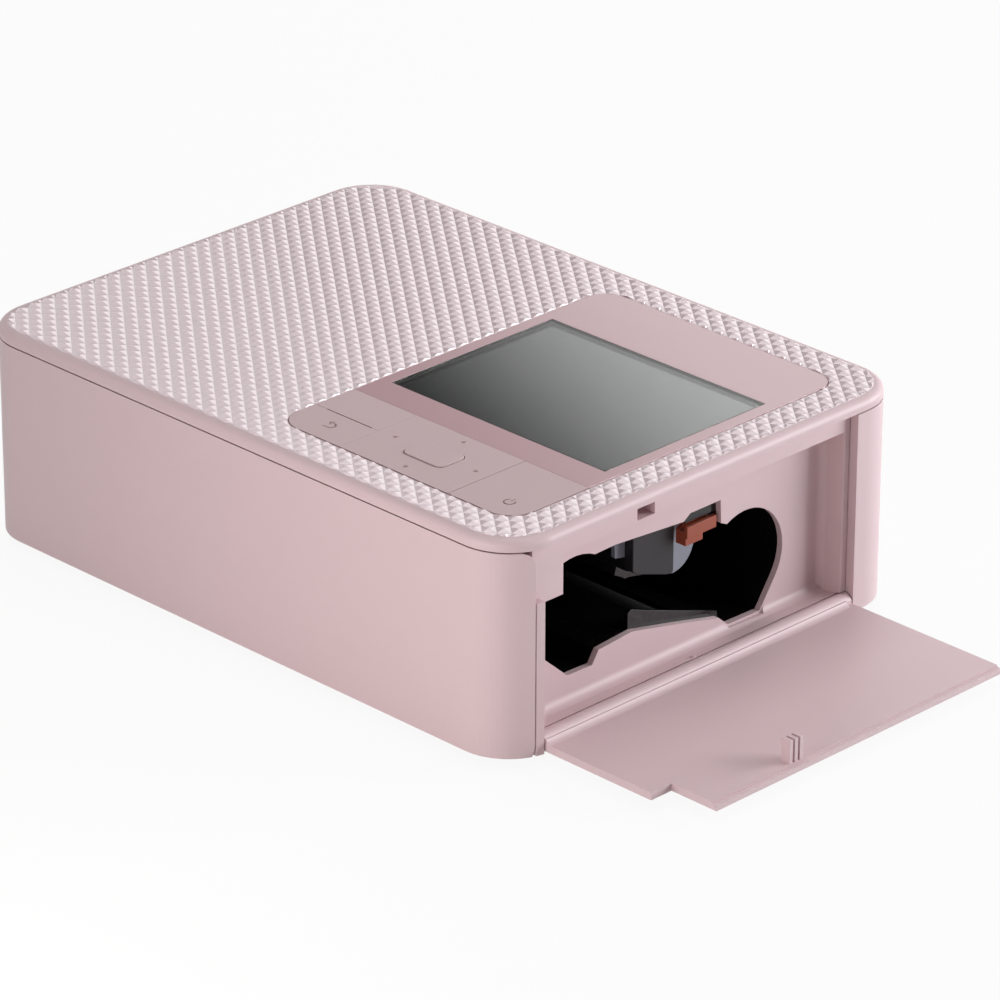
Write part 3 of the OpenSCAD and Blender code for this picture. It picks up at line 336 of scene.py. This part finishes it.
# The draft starts this far under the key's top.
DRAFT_START = 0.6
ARROWHEAD_RISE = 0.08


def drafted(mesh):
    """Draws a key's lower half in a little all round, so that it slides clear of the cover."""
    low, high = [Vector(f(v.co[i] for v in mesh.vertices) for i in range(3)) for f in (min, max)]
    for v in mesh.vertices:
        if v.co.z < high.z - DRAFT_START * MM:
            for i in (0, 1):
                middle = (low[i] + high[i]) / 2
                share = 1 - 2 * KEY_DRAFT * MM / (high[i] - low[i])
                v.co[i] = middle + (v.co[i] - middle) * share


for name in ["menu_key", "back_key", "power_key"]:
    eased(name, key_sheet, 0.08, change=drafted)
arrow_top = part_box("nav_key")[1].z
# The navigation key's raised arrowheads are inked.
second_material(eased("nav_key", key_sheet, 0.04, change=drafted), symbol_ink,
                lambda face: face.center.z > arrow_top - ARROWHEAD_RISE * MM)
eased("ok_key", key_sheet, 0.2, 3)

# Where the two symbols stand, and the strokes that they are drawn with
POWER_AT = (72.7 + BODY_SHIFT, -48.0)
BACK_AT = (14.3 + BODY_SHIFT, -48.1)
STROKE_WIDTH = 0.32
STROKE_RISE = 0.02
# How far a stroke reaches past its points, as a share of its width, so that bends close
STROKE_OVERLAP = 0.3
STROKE_SIDES = [(3, 2, 1, 0), (4, 5, 6, 7), (0, 1, 5, 4), (1, 2, 6, 5), (2, 3, 7, 6), (3, 0, 4, 7)]


def stroke(bm, points, top):
    """A flat line along the points, given in mm, standing a little above the key."""
    for a, b in zip(points, points[1:]):
        along = Vector((b[0] - a[0], b[1] - a[1], 0)).normalized()
        across = Vector((along.y, -along.x, 0)) * STROKE_WIDTH / 2
        overlap = along * STROKE_WIDTH * STROKE_OVERLAP
        start, end = Vector((*a, 0)) - overlap, Vector((*b, 0)) + overlap
        corners = [start - across, end - across, end + across, start + across]
        ring = [bm.verts.new((v + Vector((0, 0, h))) * MM + Vector((0, 0, top)))
                for h in (-STROKE_RISE, STROKE_RISE) for v in corners]
        for side in STROKE_SIDES:
            bm.faces.new([ring[i] for i in side])


def arc(centre_at, r, start, end, steps):
    """Points along an arc, in mm and degrees."""
    turns = [math.radians(start + (end - start) * i / steps) for i in range(steps + 1)]
    return [(centre_at[0] + r * math.cos(a), centre_at[1] + r * math.sin(a)) for a in turns]


def key_symbol(key, lines):
    bm = bmesh.new()
    for line in lines:
        stroke(bm, line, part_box(key)[1].z)
    bmesh.ops.recalc_face_normals(bm, faces=bm.faces)
    name = key + "_symbol"
    new_piece(name, mesh_from(bm, name), body_of(key), symbol_ink)


def shifted(at, *points):
    return [(at[0] + x, at[1] + y) for x, y in points]


# An open ring with a bar in its gap, and a hooked arrow
key_symbol("power_key", [arc(POWER_AT, 1.35, 130, 410, 18),
                         shifted(POWER_AT, (0, 0.4), (0, 1.9))])
key_symbol("back_key", [arc(BACK_AT, 1.2, -90, 90, 12),
                        shifted(BACK_AT, (0, 1.2), (-1.5, 1.2)),
                        shifted(BACK_AT, (-0.7, 2.0), (-1.5, 1.2), (-0.7, 0.4)),
                        shifted(BACK_AT, (0, -1.2), (-1.5, -1.2))])

# ---------------------------------------------------------------- window and display
eased("display_window", painted_sheet, 0.15)
# The clear cover's sides are blackened, so that no light comes in there. A face is one of its
# sides when its normal rises less than this.
SIDE_RISE = 0.3
second_material(eased("lcd_glass", clear_sheet, 0.05), lcd_border,
                lambda face: abs(face.normal.z) < SIDE_RISE)

# Width of the printed border, and its margin inside the cover's outline
BORDER = 1.7
BORDER_MARGIN = 0.3
# The polariser stands this far under the clear cover's lower face
DISPLAY_DROP = 0.62
BORDER_DROP = 0.02
BORDER_THICKNESS = 0.9
POLARISER_THICKNESS = 0.5


def slab(bm, low, high, slot):
    """A box with its corners at low and high, in metres, with the material of that slot."""
    made = bmesh.ops.create_cube(bm, size=1.0)["verts"]
    size = high - low
    for v in made:
        v.co = Vector(low[i] + (v.co[i] + 0.5) * size[i] for i in range(3))
    for f in {f for v in made for f in v.link_faces}:
        f.material_index = slot


def display_layer(bm, inset, bottom, top, slot):
    """A layer of the display under the clear cover, inset from its outline by so many mm."""
    edge = Vector((inset, inset, 0)) * MM
    slab(bm, Vector((glass_low.x, glass_low.y, bottom)) + edge,
         Vector((glass_high.x, glass_high.y, top)) - edge, slot)


glass_low, glass_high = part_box("lcd_glass")
module_low, module_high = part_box("lcd_module")
panel_top = glass_low.z - DISPLAY_DROP * MM
panel_base = panel_top - BORDER_THICKNESS * MM
bm = bmesh.new()
slab(bm, module_low, Vector((module_high.x, module_high.y, panel_base)), 0)
display_layer(bm, BORDER_MARGIN, panel_base, panel_top - BORDER_DROP * MM, 1)
display_layer(bm, BORDER, panel_top - POLARISER_THICKNESS * MM, panel_top, 2)
display = new_piece("display", mesh_from(bm, "display"), body_of("lcd_module"),
                    replaced=["lcd_module"])
for material in (zinc_sheet, lcd_border, lcd_face):
    display.data.materials.append(material)

# ---------------------------------------------------------------- top cover
top_low, top_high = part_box("top_cover")
PAD_RISE = 0.5
# A point this far above the flat belongs to the pad.
PAD_POINT = 0.1
flat_z = top_high.z - PAD_RISE * MM


def lower_pad(mesh):
    """Takes the plain pad down to the flat, because the raised diamonds stand in its place."""
    for v in mesh.vertices:
        if v.co.z > flat_z + PAD_POINT * MM:
            v.co.z = flat_z
    bm = bmesh.new()
    bm.from_mesh(mesh)
    bmesh.ops.remove_doubles(bm, verts=bm.verts, dist=SAME_POINT * MM)
    bmesh.ops.dissolve_degenerate(bm, edges=bm.edges, dist=SAME_POINT * MM)
    join_flat_faces(bm)
    bm.to_mesh(mesh)
    bm.free()


eased("top_cover", pink_abs, 0.2, change=lower_pad, outer_only=True)

PITCH_X = 5.128
PITCH_Y = 4.228
DIAMOND_HEIGHT = 0.48
COLUMNS, ROWS = 36, 32
# Points of neighbouring diamonds that lie nearer than this are joined.
DIAMOND_JOIN = 0.02
# Each diamond's rings, as shares of its half width and height: radius below and above, height
# below and above
DIAMOND_RINGS = [(1.0, 0.52, 0.0, 0.56), (0.52, 0.16, 0.56, 0.93), (0.16, 0.0, 0.93, 1.0)]


def raised_diamonds_tree(material):
    """Rows of raised diamonds, every second row moved by half a pitch."""
    t = bpy.data.node_groups.new("raised diamonds", "GeometryNodeTree")
    for name, kind, value in [("Across", "NodeSocketFloat", PITCH_X * MM),
                              ("Along", "NodeSocketFloat", PITCH_Y * MM),
                              ("Rise", "NodeSocketFloat", DIAMOND_HEIGHT * MM),
                              ("Columns", "NodeSocketInt", COLUMNS),
                              ("Rows", "NodeSocketInt", ROWS),
                              ("Finish", "NodeSocketMaterial", material)]:
        socket = t.interface.new_socket(name, in_out="INPUT", socket_type=kind)
        socket.default_value = value
    t.interface.new_socket("Geometry", in_out="OUTPUT", socket_type="NodeSocketGeometry")
    given = add(t, "NodeGroupInput").outputs
    points = add(t, "GeometryNodeJoinGeometry")
    # Two grids of points, the second in the middle of the first one's squares
    for shift in (0.0, 0.5):
        grid_inputs = {"Vertices X": given["Columns"], "Vertices Y": given["Rows"]}
        offset_inputs = {}
        for axis, count, pitch in (("X", "Columns", "Across"), ("Y", "Rows", "Along")):
            gaps = add(t, "ShaderNodeMath", {"operation": "SUBTRACT"}, {0: given[count], 1: 1.0})
            size = add(t, "ShaderNodeMath", {"operation": "MULTIPLY"}, {
                0: gaps.outputs[0], 1: given[pitch]})
            off = add(t, "ShaderNodeMath", {"operation": "MULTIPLY"}, {0: given[pitch], 1: shift})
            grid_inputs["Size " + axis] = size.outputs[0]
            offset_inputs[axis] = off.outputs[0]
        grid = add(t, "GeometryNodeMeshGrid", inputs=grid_inputs)
        offset = add(t, "ShaderNodeCombineXYZ", inputs=offset_inputs)
        moved = add(t, "GeometryNodeTransform", inputs={
            "Geometry": grid.outputs["Mesh"], "Translation": offset.outputs[0]})
        t.links.new(moved.outputs["Geometry"], points.inputs[0])
    # One diamond, a stack of four-sided rings
    stack = add(t, "GeometryNodeJoinGeometry")
    for below, above, bottom, top in DIAMOND_RINGS:
        cone = add(t, "GeometryNodeMeshCone", {"fill_type": "NONE"}, {
            "Vertices": 4, "Radius Top": above, "Radius Bottom": below, "Depth": top - bottom})
        up = add(t, "GeometryNodeTransform", inputs={
            "Geometry": cone.outputs["Mesh"], "Translation": (0.0, 0.0, bottom)})
        t.links.new(up.outputs["Geometry"], stack.inputs[0])
    half_x = add(t, "ShaderNodeMath", {"operation": "MULTIPLY"}, {0: given["Across"], 1: 0.5})
    half_y = add(t, "ShaderNodeMath", {"operation": "MULTIPLY"}, {0: given["Along"], 1: 0.5})
    size = add(t, "ShaderNodeCombineXYZ", inputs={
        "X": half_x.outputs[0], "Y": half_y.outputs[0], "Z": given["Rise"]})
    diamond = add(t, "GeometryNodeTransform", inputs={
        "Geometry": stack.outputs[0], "Scale": size.outputs[0]})
    spread = add(t, "GeometryNodeInstanceOnPoints", inputs={
        "Points": points.outputs[0], "Instance": diamond.outputs["Geometry"]})
    real = add(t, "GeometryNodeRealizeInstances", inputs={"Geometry": spread.outputs[0]})
    whole = add(t, "GeometryNodeMergeByDistance", inputs={
        "Geometry": real.outputs[0], "Distance": DIAMOND_JOIN * MM})
    done = add(t, "GeometryNodeSetMaterial", inputs={
        "Geometry": whole.outputs[0], "Material": given["Finish"]})
    add(t, "NodeGroupOutput", inputs={"Geometry": done.outputs[0]})
    return t


diamonds = place_object("raised_diamonds", bpy.data.meshes.new("raised_diamonds"))
grow = diamonds.modifiers.new("raised diamonds", "NODES")
grow.node_group = raised_diamonds_tree(diamond_abs_with_painted_sheen)
apply_modifiers(diamonds)


def rounded_outline(cx, cy, w, d, r, steps=8):
    """A rounded rectangle's points, anticlockwise, in metres."""
    points = []
    for sx, sy, turn in [(1, -1, -90), (1, 1, 0), (-1, 1, 90), (-1, -1, 180)]:
        for i in range(steps + 1):
            a = math.radians(turn + 90 * i / steps)
            points.append(Vector((cx + sx * (w / 2 - r) + r * math.cos(a),
                                  cy + sy * (d / 2 - r) + r * math.sin(a), 0)))
    return points


# A side of an outline that is shorter than this, in metres, is none. A point counts as inside
# when it lies beyond a side by no more than rounding.
NO_SIDE = 1e-7
ROUNDING = 1e-9


def cut_along(bm, outline, reach):
    """Cuts the mesh along each side of a closed outline, near that side only."""
    for a, b in zip(outline, outline[1:] + outline[:1]):
        side = b - a
        if side.length < NO_SIDE:
            continue
        along = side.normalized()
        across = Vector((along.y, -along.x, 0))
        near = set()
        for f in bm.faces:
            from_start = f.calc_center_median() - a
            on_side = -reach < from_start.dot(along) < side.length + reach
            if on_side and abs(from_start.dot(across)) < reach:
                near.update([f], f.edges, f.verts)
        bmesh.ops.bisect_plane(bm, geom=list(near), plane_co=a, plane_no=across, dist=NO_SIDE)


def inside(outline, p):
    return all((b - a).x * (p.y - a.y) - (b - a).y * (p.x - a.x) > -ROUNDING
               for a, b in zip(outline, outline[1:] + outline[:1]) if (b - a).length > NO_SIDE)


TOP_CORNER = 14
FIELD_BORDER = 2.3
# The hole for the panel: its gap to the panel and its corner radius
PANEL_GAP = 0.35
PANEL_CORNER = 6.9
CUT_REACH = 4
# Points that the cuts leave nearer than this are joined.
CUT_JOIN = 0.005
# The field stands this far above the flat, so that the two don't flicker.
FIELD_CLEAR = 0.01
centre = (top_low + top_high) / 2
top_size = top_high - top_low
panel_low, panel_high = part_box("display_window")
strip_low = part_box("power_key")[0]
bm = bmesh.new()
bm.from_mesh(diamonds.data)
bmesh.ops.translate(bm, verts=bm.verts, vec=(centre.x, centre.y, flat_z))
field = rounded_outline(centre.x, centre.y, top_size.x - 2 * FIELD_BORDER * MM,
                        top_size.y - 2 * FIELD_BORDER * MM, (TOP_CORNER - FIELD_BORDER) * MM)
hole = rounded_outline((panel_low.x + panel_high.x) / 2, (strip_low.y + panel_high.y) / 2,
                       panel_high.x - panel_low.x + 2 * PANEL_GAP * MM,
                       panel_high.y - strip_low.y + 2 * PANEL_GAP * MM, PANEL_CORNER * MM)
for outline, keep_inside in ((field, True), (hole, False)):
    cut_along(bm, outline, CUT_REACH * MM)
    gone = [f for f in bm.faces if inside(outline, f.calc_center_median()) != keep_inside]
    bmesh.ops.delete(bm, geom=gone, context="FACES")
loose = [v for v in bm.verts if not v.link_faces]
bmesh.ops.delete(bm, geom=loose, context="VERTS")
bmesh.ops.remove_doubles(bm, verts=bm.verts, dist=CUT_JOIN * MM)
for v in bm.verts:
    if v.is_boundary:
        v.co.z = flat_z
    v.co.z += FIELD_CLEAR * MM
bmesh.ops.recalc_face_normals(bm, faces=bm.faces)
bm.to_mesh(diamonds.data)
bm.free()
if sum(p.normal.z for p in diamonds.data.polygons) < 0:
    diamonds.data.flip_normals()
diamonds.data.materials.clear()
diamonds.data.materials.append(diamond_abs_with_painted_sheen)
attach(diamonds, "casing")


# ---------------------------------------------------------------- floor and background
def bare_material(name):
    m = bpy.data.materials.new(name)
    m.use_nodes = True
    m.node_tree.nodes.clear()
    return m, m.node_tree


WHITE = (1.0, 1.0, 1.0, 1.0)
# How much of the floor the camera sees as plain white; the rest shows the shadow.
FLOOR_WHITE = 0.92
FLOOR_HALF_WIDTH = 6.0
bm = bmesh.new()
bmesh.ops.create_grid(bm, x_segments=1, y_segments=1, size=FLOOR_HALF_WIDTH)
floor = place_object("floor", mesh_from(bm, "floor"))
white_floor, t = bare_material("white floor")
matte = add(t, "ShaderNodeBsdfDiffuse", inputs={"Color": (0.86, 0.85, 0.85, 1.0)})
glow = add(t, "ShaderNodeEmission", inputs={"Color": WHITE, "Strength": 1.0})
path = add(t, "ShaderNodeLightPath").outputs
seen = add(t, "ShaderNodeMath", {"operation": "MAXIMUM"}, {
    0: path["Is Camera Ray"], 1: path["Is Glossy Ray"]})
share = add(t, "ShaderNodeMath", {"operation": "MULTIPLY"}, {0: seen.outputs[0], 1: FLOOR_WHITE})
both = add(t, "ShaderNodeMixShader", inputs={
    0: share.outputs[0], 1: matte.outputs[0], 2: glow.outputs[0]})
add(t, "ShaderNodeOutputMaterial", inputs={"Surface": both.outputs[0]})
floor.data.materials.append(white_floor)

# The background is white to the camera, in glossy surfaces and through clear ones. A ray that has
# left a matte surface sees only a soft light, also through a clear sheet.
SOFT_LIGHT = 0.02
world = bpy.data.worlds.new("studio")
bpy.context.scene.world = world
world.use_nodes = True
t = world.node_tree
t.nodes.clear()
path = add(t, "ShaderNodeLightPath").outputs
seen = add(t, "ShaderNodeMath", {"operation": "MAXIMUM"}, {
    0: path["Is Camera Ray"], 1: path["Is Transmission Ray"]})
seen = add(t, "ShaderNodeMath", {"operation": "MAXIMUM"}, {
    0: seen.outputs[0], 1: path["Is Glossy Ray"]})
direct = add(t, "ShaderNodeMath", {"operation": "LESS_THAN"}, {0: path["Diffuse Depth"], 1: 0.5})
seen = add(t, "ShaderNodeMath", {"operation": "MULTIPLY"}, {
    0: seen.outputs[0], 1: direct.outputs[0]})
soft = add(t, "ShaderNodeBackground", inputs={"Color": WHITE, "Strength": SOFT_LIGHT})
white = add(t, "ShaderNodeBackground", inputs={"Color": WHITE, "Strength": 1.0})
both = add(t, "ShaderNodeMixShader", inputs={
    0: seen.outputs[0], 1: soft.outputs[0], 2: white.outputs[0]})
add(t, "ShaderNodeOutputWorld", inputs={"Surface": both.outputs[0]})

# ---------------------------------------------------------------- lights
NEUTRAL, WARM, COOL = (1.0, 1.0, 1.0), (1.0, 0.95, 0.93), (0.94, 0.98, 1.0)
LIT = Vector((0, 0, 0.03))
# Name, place and aim in metres, width, height, watts, colour, and whether glossy and clear
# surfaces show it
for name, spot, aim, width, height, power, colour, mirrored in [
        ("front softbox", (0.0, -1.3, 0.35), LIT, 0.8, 0.8, 3.3, NEUTRAL, True),
        ("near front softbox", (0.075, -0.27, 0.06), Vector((0.06, 0, 0.03)), 0.2, 0.08, 0.2,
         WARM, True),
        ("right rear softbox", (0.62, 0.8, 0.28), LIT, 0.7, 0.45, 10.0, COOL, True),
        ("overhead softbox", (0.0, 0.0, 1.4), LIT, 1.2, 1.2, 8.6, NEUTRAL, True),
        ("left rear softbox", (-0.9, 0.9, 0.8), LIT, 0.8, 0.8, 4.0, NEUTRAL, False)]:
    lamp = bpy.data.lights.new(name, "AREA")
    lamp.shape = "RECTANGLE"
    lamp.size = width
    lamp.size_y = height
    lamp.energy = power
    lamp.color = colour
    softbox = place_object(name, lamp)
    softbox.location = spot
    softbox.rotation_euler = (aim - Vector(spot)).to_track_quat("-Z", "Y").to_euler()
    softbox.visible_glossy = softbox.visible_transmission = mirrored

# A grey card that only reflections show. The window and the display mirror it towards the front
# right: it is dark at its upper left and light at its lower right.
CARD_DISTANCE = 1.5
CARD_HALF_WIDTH, CARD_HALF_HEIGHT = 0.5, 0.45
# The part of the card that the panel mirrors, half as wide and as high in metres
MIRRORED_WIDTH, MIRRORED_HEIGHT = 0.109, 0.114
CARD_DARK, CARD_LIGHT = 0.03, 1.4
DARK_END, LIGHT_END = -0.58, 1.4
PANEL_MIDDLE = Vector((18.8, 5.9, 57.0)) * MM
mirrored_way = Vector((-0.64, 0.64, 0.425)).normalized()
card_right = Vector((1, 1, 0)).normalized()
card_up = mirrored_way.cross(card_right).normalized()
if card_up.z < 0:
    card_up = -card_up
card_centre = PANEL_MIDDLE + CARD_DISTANCE * mirrored_way
card_mesh = bpy.data.meshes.new("grey card")
card_mesh.from_pydata([
    card_centre + x * CARD_HALF_WIDTH * card_right + y * CARD_HALF_HEIGHT * card_up
    for x, y in [(-1, -1), (1, -1), (1, 1), (-1, 1)]], [], [(0, 1, 2, 3)])
card = place_object("grey_card", card_mesh)
card.visible_camera = card.visible_diffuse = card.visible_shadow = False
grey_card, t = bare_material("grey card")
place = add(t, "ShaderNodeTexCoord").outputs["Object"]
lean = card_right / MIRRORED_WIDTH - card_up / MIRRORED_HEIGHT
reach = add(t, "ShaderNodeVectorMath", {"operation": "DOT_PRODUCT"}, {0: place, 1: tuple(lean)})
middle = card_centre.dot(lean)
level = add(t, "ShaderNodeMapRange", {"interpolation_type": "SMOOTHSTEP"}, {
    "Value": reach.outputs["Value"], "From Min": middle + DARK_END,
    "From Max": middle + LIGHT_END, "To Min": CARD_DARK, "To Max": CARD_LIGHT})
light = add(t, "ShaderNodeEmission", inputs={
    "Color": WHITE, "Strength": level.outputs["Result"]})
add(t, "ShaderNodeOutputMaterial", inputs={"Surface": light.outputs[0]})
card_mesh.materials.append(grey_card)

# ---------------------------------------------------------------- camera
# It stands where the photograph was taken from: 45 degrees round from the front towards the door
# end and 25 degrees up, with a long lens. The offset is right, up and back from the body's
# middle, in mm.
AZIMUTH, ELEVATION, ROLL = (math.radians(a) for a in (45.0, 25.16, 0.2))
BODY_CENTRE = Vector((BODY_SHIFT, 0, 28.8)) * MM
CAMERA_OFFSET = (15.26, -10.15, 1439.9)
back = Vector((math.sin(AZIMUTH) * math.cos(ELEVATION),
               -math.cos(AZIMUTH) * math.cos(ELEVATION), math.sin(ELEVATION)))
right = Vector((0, 0, 1)).cross(back).normalized()
up = back.cross(right)
rolled_right = math.cos(ROLL) * right + math.sin(ROLL) * up
rolled_up = -math.sin(ROLL) * right + math.cos(ROLL) * up
axes = (rolled_right, rolled_up, back)
lens = bpy.data.cameras.new("camera")
lens.lens = 215.8
lens.sensor_width = 36.0
lens.clip_end = 20
camera = place_object("camera", lens)
camera.location = BODY_CENTRE + sum((o * MM * a for o, a in zip(CAMERA_OFFSET, axes)), Vector())
camera.rotation_euler = Matrix(axes).transposed().to_euler()
bpy.context.scene.camera = camera
bpy.context.scene.view_settings.view_transform = "Standard"

bpy.context.view_layer.update()
